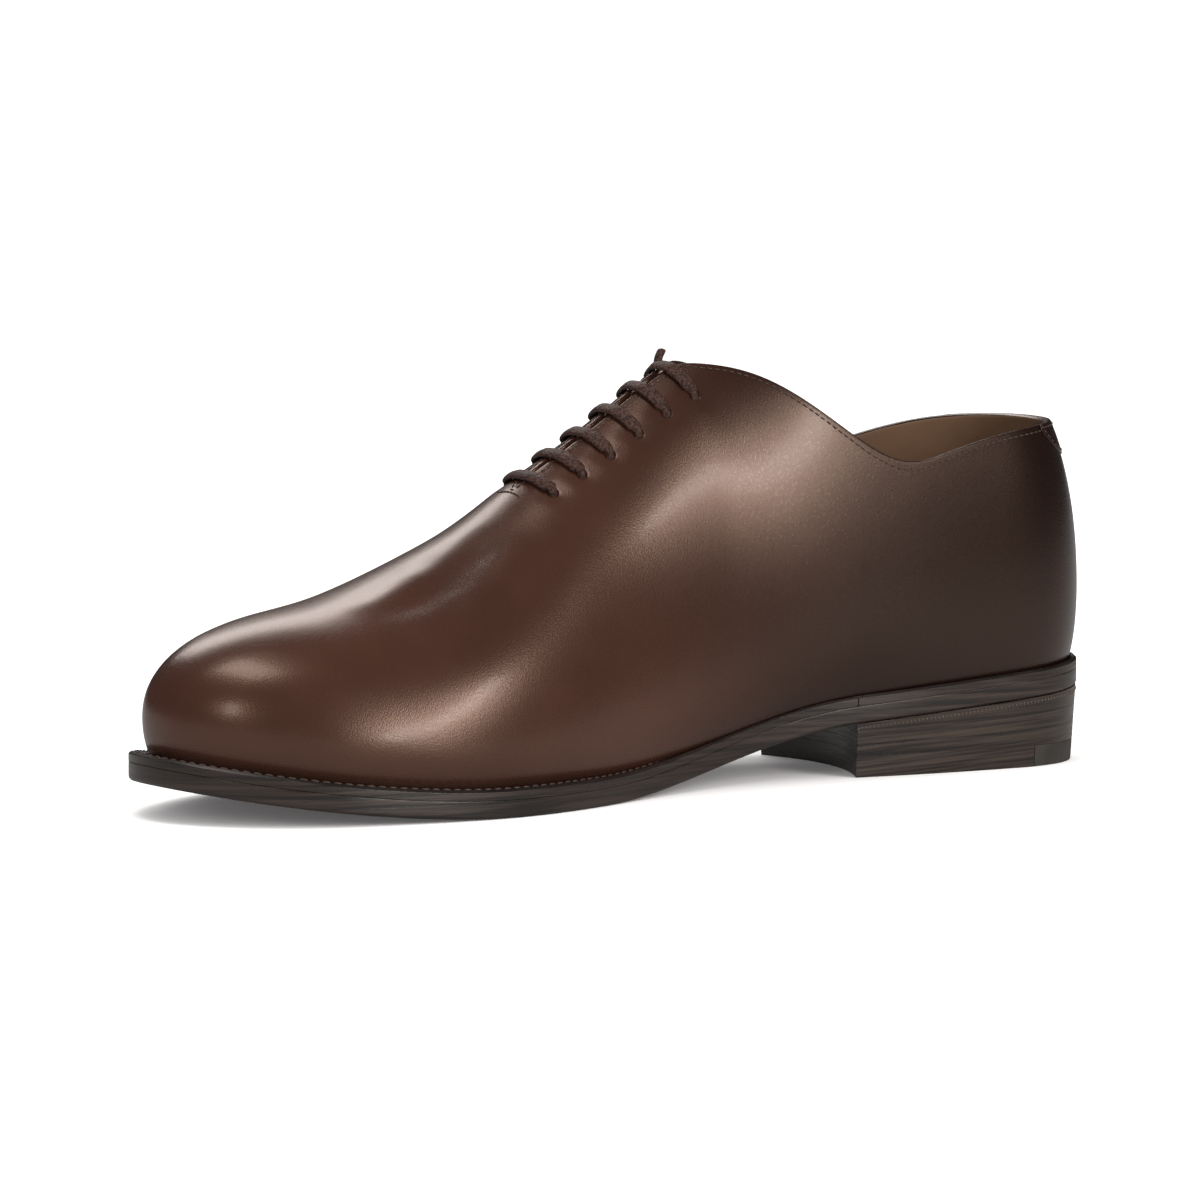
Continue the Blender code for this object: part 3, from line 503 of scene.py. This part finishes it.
thread, thread_tree, thread_shader = new_material("waxed_thread", THREAD_DARK, 0.5)
thread_place = put(thread_tree, "TexCoord").outputs["Object"]
thread_noise = put(thread_tree, "TexNoise", Vector=thread_place, Scale=2600.0, Detail=2.0)
thread_colour = put(
    thread_tree, "MixRGB", Fac=thread_noise.outputs["Fac"], Color1=(0.012, 0.006, 0.005, 1.0),
    Color2=(0.085, 0.043, 0.031, 1.0),
)
thread_bump = put(thread_tree, "Bump", Strength=0.5, Distance=0.0001, Height=thread_noise.outputs["Fac"])
thread_tree.links.new(thread_colour.outputs["Color"], thread_shader.inputs["Base Color"])
thread_tree.links.new(thread_bump.outputs["Normal"], thread_shader.inputs["Normal"])


def flowing(points, steps, closed):
    """Points on a smooth curve through the given ones."""
    count = len(points)
    smooth = []
    for i in range(count if closed else count - 1):
        if closed:
            a, b, c, d = (points[(i + k) % count] for k in (-1, 0, 1, 2))
        else:
            a, b, c, d = (points[min(max(i + k, 0), count - 1)] for k in (-1, 0, 1, 2))
        for step in range(steps):
            t = step / steps
            turn = (c - a) * t + (a * 2 - b * 5 + c * 4 - d) * t**2 + (b * 3 - a - c * 3 + d) * t**3
            smooth.append(b + turn * 0.5)
    return smooth if closed else smooth + [points[-1].copy()]


def evenly(points, pitch, closed):
    """Points spaced evenly along a line."""
    run = points + points[:1] if closed else points
    lengths = np.concatenate([[0.0], np.cumsum([(b - a).length for a, b in zip(run, run[1:])])])
    count = int(lengths[-1] / pitch)
    marks = np.linspace(0.0, lengths[-1], count + 1)
    spots = np.array([np.interp(marks, lengths, [p[k] for p in run]) for k in range(3)]).T
    return [Vector(spot) for spot in (spots[:-1] if closed else spots)]


def stitches(name, spots, closed, skin, length, width, sink, material):
    """A row of stitches laid on a surface along evenly spaced spots."""
    bm = bmesh.new()
    count = len(spots)
    for i, spot in enumerate(spots):
        before = spots[i - 1] if closed or i else spot
        after = spots[(i + 1) % count] if closed or i < count - 1 else spot
        place, normal, *_ = skin.find_nearest(spot)
        along = (after - before).normalized()
        along = (along - normal * along.dot(normal)).normalized()
        across = normal.cross(along)
        shape = Matrix((along * length / 2, across * width / 2, normal * width / 2)).transposed().to_4x4()
        seat = Matrix.Translation(place + normal * (width / 2 - sink))
        bmesh.ops.create_icosphere(bm, subdivisions=2, radius=1.0, matrix=seat @ shape)
    return add_piece(name, bm, [material])


top_spots = evenly(flowing(top_stitch_line, CURVE_STEPS, True), TOP_STITCH_PITCH, True)
stitches(
    "topline_stitches", top_spots, True, upper_skin, TOP_STITCH_LENGTH, TOP_STITCH_WIDTH, TOP_STITCH_SUNK,
    thread,
)
tack_spots = [
    upper_skin.ray_cast(Vector((slit_end.x + TACK_AHEAD, slit_end.y + float(y), ABOVE)), DOWN)[0]
    for y in np.arange(-TACK_HALF, TACK_HALF, TACK_PITCH)
]
stitches("slit_tack", tack_spots, False, upper_skin, TOP_STITCH_LENGTH, TOP_STITCH_WIDTH, TACK_SUNK, thread)


# Back seam: the two ends of the one cut of calf butt at the heel. Waxed thread holds them, in a row on each
# side of the join, and the join itself shows as a fine dark line.

SEAM_LOW = 0.036
SEAM_HIGH = 0.081
SEAM_STEP = 0.0022
SEAM_ROW = 0.0016
SEAM_PAST = 0.002
SEAM_POINTS = 14
JOIN_WIDTH = 0.0005
BEHIND = -0.3
FORWARD = Vector((1, 0, 0))
TUBE_SIDES = 12


def up_the_back(heights, y):
    """Places on the upper's back at some heights, beside the middle by y."""
    return [upper_skin.ray_cast(Vector((BEHIND, y, float(z))), FORWARD)[0] for z in heights]


for side, name in ((1, "back_seam_inner_row"), (-1, "back_seam_outer_row")):
    spots = up_the_back(np.arange(SEAM_LOW, SEAM_HIGH, SEAM_STEP), side * SEAM_ROW)
    stitches(
        name, spots, False, upper_skin, TOP_STITCH_LENGTH, TOP_STITCH_WIDTH, SEAM_STITCH_SUNK, thread
    )


def sweep(bm, sections):
    """A closed tube: a capped ring that is extruded from each section to the next."""
    made = bmesh.ops.create_circle(bm, cap_ends=True, segments=TUBE_SIDES, radius=1.0, matrix=sections[0])
    ring = list({edge for vert in made["verts"] for edge in vert.link_edges if len(edge.link_faces) == 1})
    ring.sort(key=lambda edge: edge.index)
    for before, after in zip(sections, sections[1:]):
        grown = bmesh.ops.extrude_edge_only(bm, edges=ring)["geom"]
        verts = [item for item in grown if isinstance(item, bmesh.types.BMVert)]
        ring = [item for item in grown if isinstance(item, bmesh.types.BMEdge)]
        bmesh.ops.transform(bm, matrix=after @ before.inverted(), verts=verts)
    bmesh.ops.edgeloop_fill(bm, edges=ring)
    bmesh.ops.recalc_face_normals(bm, faces=bm.faces)


def across_sections(path, across, half_widths, half_heights):
    """Sections square to a path: wide along the given direction and thin square to it."""
    sections = []
    for i, place in enumerate(path):
        along = (path[min(i + 1, len(path) - 1)] - path[max(i - 1, 0)]).normalized()
        wide = (across - along * across.dot(along)).normalized()
        thin = along.cross(wide)
        turn = Matrix((wide * half_widths[i], thin * half_heights[i], along)).transposed().to_4x4()
        sections.append(Matrix.Translation(place) @ turn)
    return sections


seam_path = up_the_back(np.linspace(SEAM_LOW - SEAM_PAST, SEAM_HIGH + SEAM_PAST, SEAM_POINTS), 0.0)
seam_bm = bmesh.new()
half_join = [JOIN_WIDTH / 2] * SEAM_POINTS
sweep(seam_bm, across_sections(seam_path, Vector((0, 1, 0)), half_join, [JOIN_WIDTH / 4] * SEAM_POINTS))
add_piece("back_seam_join", seam_bm, [thread])


# Heel strip: a crescent of the same calf that covers the top of the back seam. It is skived thin at its edge,
# lies on the upper and is sewn to it all round.

STRIP_EDGE_ROUND = 0.0003
STRIP_STITCH_INSET = 0.0013
STRIP_GAP = 0.0004
STRIP_SKIVED = 0.55


def skin_of(piece):
    """A finished piece's surface, for laying things on it."""
    shape = applied(piece)
    skin = BVHTree.FromBMesh(shape)
    shape.free()
    return skin


strip_bm = merged_copy("heel_strip")
strip_line = rim_line(outer_rims(strip_bm)[-1], STRIP_STITCH_INSET)
for vert in strip_bm.verts:
    place, normal, _, away = upper_skin.find_nearest(vert.co)
    vert.co = place + normal * max(away - STRIP_GAP, 0.0) * STRIP_SKIVED
round_edges(strip_bm, RIM_ANGLE, STRIP_EDGE_ROUND)
strip = add_piece("heel_strip_leather", strip_bm, [calf], ["heel_strip"], levels=2)
strip_skin = skin_of(strip)
strip_spots = evenly(flowing(strip_line, CURVE_STEPS, True), TOP_STITCH_PITCH, True)
stitches(
    "heel_strip_stitches", strip_spots, True, strip_skin, TOP_STITCH_LENGTH, TOP_STITCH_WIDTH,
    SEAM_STITCH_SUNK, thread,
)


# Tongue: a thin sheet of the same calf, sewn in under the throat. Only a narrow line of it shows between the
# two sides of the slit.

tongue_bm = merged_copy("tongue")
round_edges(tongue_bm, RIM_ANGLE, RIM_ROUND)
add_piece("tongue_leather", tongue_bm, [calf], ["tongue"], levels=2)


# Insole: the leather floor inside, which the upper and the welt are sewn to. A smooth sock of lining leather
# is glued over it.

SOCK_ANGLE = math.radians(30)
SOCK_ROUND = 0.0003

insole_bm = merged_copy("insole")
round_edges(insole_bm, SOCK_ANGLE, SOCK_ROUND)
add_piece("insole_sock", insole_bm, [lining], ["insole"], levels=2)


# Lace: flat waxed cotton in six straight bars. Each goes down through its two eyelets and ends under the
# leather, and one short end stands up behind the top bar.

LACE_BROWN = (0.088, 0.038, 0.025, 1.0)
LACE_SHADE = (0.022, 0.010, 0.008, 1.0)
LACE_HALF_WIDTH = 0.0021
LACE_HALF_HEIGHT = 0.00095
LACE_IN_HOLE = 0.0012
LACE_REST = 0.0002
LACE_TURN = [
    # height over the eyelet, distance towards the slit
    (-0.0022, 0.0003),
    (-0.0004, 0.0004),
    (0.0008, 0.0008),
    (LACE_HALF_HEIGHT + LACE_REST, 0.0018),
]
LACE_SPANS = (0.12, 0.20, 0.29, 0.38, 0.62, 0.71, 0.80, 0.88)
LACE_FREE = 0.0030
LACE_CAST = 0.05
LACE_STEPS = 4
END_START = 0.55
END_HALF_WIDTH = 0.0017
END_HALF_HEIGHT = 0.00102
END_CURVE = [(0.0, 0.0, 0.0), (-0.0008, -0.0006, 0.0018), (-0.0022, -0.0012, 0.0036)]

lace, lace_tree, lace_shader = new_material("waxed_lace", LACE_BROWN[:3], 0.55)
lace_place = put(lace_tree, "TexCoord").outputs["Object"]
braid = put(lace_tree, "TexVoronoi", Vector=lace_place, Scale=1500.0)
fuzz = put(lace_tree, "TexNoise", Vector=lace_place, Scale=5000.0, Detail=3.0)
braid_height = put(lace_tree, "MixRGB", Fac=0.3, Color1=braid.outputs["Distance"], Color2=fuzz.outputs["Fac"])
braid_shade = put(lace_tree, "MapRange", Value=braid.outputs["Distance"], From_Min=0.1, From_Max=0.7)
lace_colour = put(
    lace_tree, "MixRGB", Fac=braid_shade.outputs["Result"], Color1=LACE_BROWN, Color2=LACE_SHADE
)
lace_bump = put(lace_tree, "Bump", Strength=0.8, Distance=0.00025, Height=braid_height.outputs["Color"])
lace_tree.links.new(lace_colour.outputs["Color"], lace_shader.inputs["Base Color"])
lace_tree.links.new(lace_bump.outputs["Normal"], lace_shader.inputs["Normal"])
lace_shader.inputs["Specular IOR Level"].default_value = 0.22

inner_eyelets = sorted((hole for hole in eyelets if hole.y > 0), key=lambda hole: -hole.x)
outer_eyelets = sorted((hole for hole in eyelets if hole.y < 0), key=lambda hole: -hole.x)
up_throat = (inner_eyelets[-1] - inner_eyelets[0]).normalized()
lace_bm = bmesh.new()
for inner, outer in zip(inner_eyelets, outer_eyelets):
    out = up_throat.cross(inner - outer).normalized()
    out *= math.copysign(1.0, out.z)
    ends = []
    for hole, other in ((inner, outer), (outer, inner)):
        normal = ((hole - foot_middle(hole)).normalized() + out).normalized()
        to_slit = other - hole
        to_slit = (to_slit - normal * to_slit.dot(normal)).normalized()
        ends.append([hole + normal * rise + to_slit * inward for rise, inward in LACE_TURN])
    middle = []
    for share in LACE_SPANS:
        hit, normal, *_ = upper_skin.ray_cast(inner.lerp(outer, share) + out * LACE_CAST, -out)
        middle.append(hit + normal * (LACE_HALF_HEIGHT + LACE_REST))
    route = flowing(ends[0] + middle + ends[1][::-1], LACE_STEPS, False)
    wide, thin = [], []
    for spot in route:
        free = ease(min((spot - inner).length, (spot - outer).length) / LACE_FREE)
        wide.append(LACE_IN_HOLE + (LACE_HALF_WIDTH - LACE_IN_HOLE) * free)
        thin.append(LACE_IN_HOLE + (LACE_HALF_HEIGHT - LACE_IN_HOLE) * free)
    sweep(lace_bm, across_sections(route, up_throat, wide, thin))

end_low = route[int(len(route) * END_START)] + up_throat * LACE_HALF_WIDTH * 0.5
end_path = flowing([end_low + Vector(step) for step in END_CURVE], LACE_STEPS, False)
end_wide = [END_HALF_WIDTH] * len(end_path)
end_thin = [END_HALF_HEIGHT] * len(end_path)
sweep(lace_bm, across_sections(end_path, Vector((0, 1, 0)), end_wide, end_thin))
add_piece("lace", lace_bm, [lace], [f"lace_bar_{i}" for i in range(1, 7)], levels=1)


# Outsole: a full length leather sole, sewn to the welt. Its underside is stained and polished, and its edge
# is blacked and burnished like the edges of the other layers.

SOLE_DARK = (0.020, 0.005, 0.005, 1.0)
SOLE_RED = (0.085, 0.021, 0.016, 1.0)
EDGE_DARK = (0.010, 0.007, 0.006, 1.0)
EDGE_LIGHT = (0.040, 0.025, 0.018, 1.0)
LAYER_ANGLE = math.radians(25)
LAYER_ROUND = 0.00020
LAYER_RISE = 0.00026
SIDE_SLOPE = 0.6
UNDER_SLOPE = 0.93
OUTSOLE_EDGE = 0.0048
HIDDEN_SHORT = 0.009
STREAK_STRETCH = 26.0
EDGE_GLOSS = 0.06
EDGE_DULL = 0.10

sole_leather, _, sole_shader, _ = leather(
    "sole_leather", SOLE_DARK, SOLE_RED, 0.24, 0.05, 0.00005, 900.0, 16.0
)
sole_shader.inputs["Coat Weight"].default_value = 0.3
sole_shader.inputs["Coat Roughness"].default_value = 0.15

# Fibre: fine level lines that pressed leather shows on a cut edge.
fibre, fibre_in, fibre_out = new_group("edge_fibre", [("Lines", 1100.0), ("Tilt", 0.0)], ["Streak", "Height"])
fibre_place = put(fibre, "TexCoord").outputs["Object"]
fibre_split = put(fibre, "SeparateXYZ", Vector=fibre_place)
tilted = reckon(fibre, "MULTIPLY_ADD", fibre_split.outputs["X"], fibre_in["Tilt"], fibre_split.outputs["Z"])
streak_place = put(
    fibre, "CombineXYZ", X=reckon(fibre, "MULTIPLY", fibre_split.outputs["X"], STREAK_STRETCH),
    Y=reckon(fibre, "MULTIPLY", fibre_split.outputs["Y"], STREAK_STRETCH),
    Z=reckon(fibre, "MULTIPLY", tilted, fibre_in["Lines"]),
)
streaks = put(fibre, "TexNoise", Vector=streak_place.outputs["Vector"], Scale=1.0, Detail=4.0, Roughness=0.65)
streak_mask = put(fibre, "MapRange", Value=streaks.outputs["Fac"], From_Min=0.38, From_Max=0.66)
fibre.links.new(streak_mask.outputs["Result"], fibre_out["Streak"])
fibre.links.new(streaks.outputs["Fac"], fibre_out["Height"])


def cut_edge(name, dark, light, lines, tilt, roughness):
    """Burnished cut leather with fine level lines."""
    material, tree, shader = new_material(name, light[:3], roughness)
    parts = use_group(tree, fibre, Lines=lines, Tilt=tilt)
    colour = put(tree, "MixRGB", Fac=parts["Streak"], Color1=dark, Color2=light)
    gloss = put(
        tree, "MapRange", Value=parts["Streak"], To_Min=roughness - EDGE_GLOSS, To_Max=roughness + EDGE_DULL
    )
    bump = put(tree, "Bump", Strength=0.5, Distance=0.00012, Height=parts["Height"])
    tree.links.new(colour.outputs["Color"], shader.inputs["Base Color"])
    tree.links.new(gloss.outputs["Result"], shader.inputs["Roughness"])
    tree.links.new(bump.outputs["Normal"], shader.inputs["Normal"])
    return material


sole_edge = cut_edge("burnished_edge", EDGE_DARK, EDGE_LIGHT, 900.0, 0.0, 0.34)


def sole_layer(node, name, under, side, over, dark_behind=-1.0):
    """A smooth copy of a flat layer, with a material for its underside, its edge and its top.

    Its top rises to meet the layer above. The underside behind dark_behind has the edge's material.
    """
    bm = merged_copy(node)
    for vert in {vert for face in bm.faces if face.normal.z > SIDE_SLOPE for vert in face.verts}:
        vert.co.z += LAYER_RISE
    round_edges(bm, LAYER_ANGLE, LAYER_ROUND)
    bm.normal_update()
    for face in bm.faces:
        face.material_index = 2 if face.normal.z > SIDE_SLOPE else 1
        if face.normal.z < -UNDER_SLOPE and face.calc_center_median().x > dark_behind:
            face.material_index = 0
    return add_piece(name, bm, [under, side, over], [node], levels=2)


heel_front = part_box("heel_lift_3")[1].x
outsole = sole_layer(
    "outsole", "outsole_leather", sole_leather, sole_edge, sole_edge,
    dark_behind=heel_front - HIDDEN_SHORT,
)


# Welt and rand: leather strips between the upper and the outsole, the welt round the forepart and the waist
# and the rand round the heel. Their edges are trimmed flush with the sole, blacked and burnished.

WELT_DARK = (0.006, 0.004, 0.004, 1.0)
WELT_LIGHT = (0.022, 0.014, 0.011, 1.0)

welt_leather, *_ = leather("welt_leather", WELT_DARK, WELT_LIGHT, 0.42, 0.06, 0.00008, 1300.0, 40.0)
welt = sole_layer("welt", "welt_strip", sole_edge, sole_edge, welt_leather)
rand = sole_layer("rand", "rand_strip", sole_edge, sole_edge, welt_leather)


# Sole stitching: heavy waxed thread through the welt and the outsole, which holds the sole on. It shows on
# the welt, and again under the sole a little further from the edge.

WELT_PITCH = 0.0031
WELT_STITCH_LENGTH = 0.0024
WELT_STITCH_WIDTH = 0.0007
WELT_INSET = 0.0021
CHANNEL_INSET = 0.0040
CHANNEL_SUNK = 0.00065
SOLE_THREAD_SUNK = 0.00030
LOOK_OUT = 0.05


def sole_outline():
    """The outsole's upper edge from the plan, in order."""
    bm = merged_copy("outsole")
    edges = [
        edge
        for edge in bm.edges
        if sorted(face.normal.z > SIDE_SLOPE for face in edge.link_faces) == [False, True]
    ]
    outline = [vert.co.copy() for vert in max(closed_loops(edges), key=len)]
    bm.free()
    return outline


def inside(outline, inset):
    """The outline moved inwards in plan."""
    middle = sum(outline, Vector()) / len(outline)
    moved = []
    for i, point in enumerate(outline):
        along = (outline[(i + 1) % len(outline)] - outline[i - 1]).normalized()
        across = along.cross(Vector((0, 0, 1))).normalized()
        moved.append(point + across * math.copysign(inset, across.dot(middle - point)))
    return moved


def cast_row(points, skin, start, way):
    """The points that hit a surface, seen along one direction from a plane at height start."""
    hits = [skin.ray_cast(Vector((point.x, point.y, start)), way)[0] for point in points]
    return [hit for hit in hits if hit]


outline = flowing(sole_outline(), CURVE_STEPS, True)
in_front = [point.x > heel_front + WELT_PITCH for point in outline]
turn = next(i for i, ahead in enumerate(in_front) if ahead and not in_front[i - 1])
outline = outline[turn:] + outline[:turn]
front_count = sum(in_front)
sewn_rows = [
    # name, piece, inset, start height, direction, depth in the leather
    ("welt_stitches", welt, WELT_INSET, LOOK_OUT, DOWN, SOLE_THREAD_SUNK),
    ("channel_stitches", outsole, CHANNEL_INSET, -LOOK_OUT, -DOWN, CHANNEL_SUNK),
]
for name, piece, inset, start, way, sunk in sewn_rows:
    skin = skin_of(piece)
    row = evenly(cast_row(inside(outline, inset)[:front_count], skin, start, way), WELT_PITCH, False)
    stitches(name, row, False, skin, WELT_STITCH_LENGTH, WELT_STITCH_WIDTH, sunk, thread)


# Heel: three lifts of pressed leather, glued and nailed under the heel seat. They are burnished together, and
# fine lines show between the layers.

STACK_DARK = (0.010, 0.007, 0.006, 1.0)
STACK_LIGHT = (0.050, 0.033, 0.023, 1.0)

stack = cut_edge("stacked_leather", STACK_DARK, STACK_LIGHT, 1300.0, 0.05, 0.33)
lifts = []
for number in range(1, 4):
    lifts.append(sole_layer(f"heel_lift_{number}", f"lift_{number}", stack, stack, stack))


# Wheel marks: a row of fine upright marks that a hot wheel presses round the heel, just under the outsole.
# Their colour is lighter than the stack's, a painted sheen for their polish.

# Painted sheen: the marks' colours are lighter than the stack's.
NICK_DARK = (0.045, 0.032, 0.025, 1.0)
NICK_LIGHT = (0.120, 0.090, 0.070, 1.0)
NICK_PITCH = 0.0013
NICK_LENGTH = 0.0015
NICK_WIDTH = 0.00045
NICK_BELOW = 0.0014
NICK_SUNK = 0.00016
NICK_CENTRE_BACK = 0.03

wheel_painted_sheen = cut_edge("wheel_painted_sheen", NICK_DARK, NICK_LIGHT, 1300.0, 0.05, 0.30)
lift_skins = [skin_of(lift) for lift in lifts]
seat_part = outline[front_count:]
nick_row = []
for point in evenly(seat_part, NICK_PITCH, False):
    centre = Vector((min(point.x, heel_front - NICK_CENTRE_BACK), 0.0, point.z - NICK_BELOW - OUTSOLE_EDGE))
    start = Vector((point.x, point.y, centre.z))
    way = (centre - start).normalized()
    hits = [skin.ray_cast(start - way * LOOK_OUT, way) for skin in lift_skins]
    hits = [hit for hit in hits if hit[0]]
    if hits:
        nick_row.append(min(hits, key=lambda hit: hit[3])[:2])
nick_bm = bmesh.new()
for place, normal in nick_row:
    upright = (Vector((0, 0, 1)) - normal * normal.z).normalized()
    beside = normal.cross(upright)
    axes = (beside * NICK_WIDTH / 2, upright * NICK_LENGTH / 2, normal * NICK_WIDTH)
    shape = Matrix(axes).transposed().to_4x4()
    seat = Matrix.Translation(place - normal * NICK_SUNK)
    bmesh.ops.create_icosphere(nick_bm, subdivisions=1, radius=1.0, matrix=seat @ shape)
add_piece("wheel_marks", nick_bm, [wheel_painted_sheen])


# Top piece: the heel's bottom layer, leather in front and rubber behind, joined on a slant. Brass pins in
# groups of three fix the leather half.

RUBBER_DARK = (0.022, 0.018, 0.015, 1.0)
RUBBER_LIGHT = (0.048, 0.040, 0.033, 1.0)
BRASS = (0.62, 0.42, 0.20)

rubber, *_ = leather("heel_rubber", RUBBER_DARK, RUBBER_LIGHT, 0.6, 0.1, 0.0001, 2600.0, 60.0)
brass, brass_tree, brass_shader = new_material("brass", BRASS, 0.3)
brass_shader.inputs["Metallic"].default_value = 1.0
brass_place = put(brass_tree, "TexCoord").outputs["Object"]
brass_noise = put(brass_tree, "TexNoise", Vector=brass_place, Scale=1800.0, Detail=3.0)
brass_gloss = put(brass_tree, "MapRange", Value=brass_noise.outputs["Fac"], To_Min=0.2, To_Max=0.45)
brass_tree.links.new(brass_gloss.outputs["Result"], brass_shader.inputs["Roughness"])

sole_layer("top_piece_rubber", "top_piece_rubber_half", rubber, rubber, rubber)
sole_layer("top_piece_leather", "top_piece_leather_half", sole_leather, stack, stack)
for name, node in nodes.items():
    if name.startswith("brass_pin"):
        for material_slot in node.material_slots:
            material_slot.material = brass
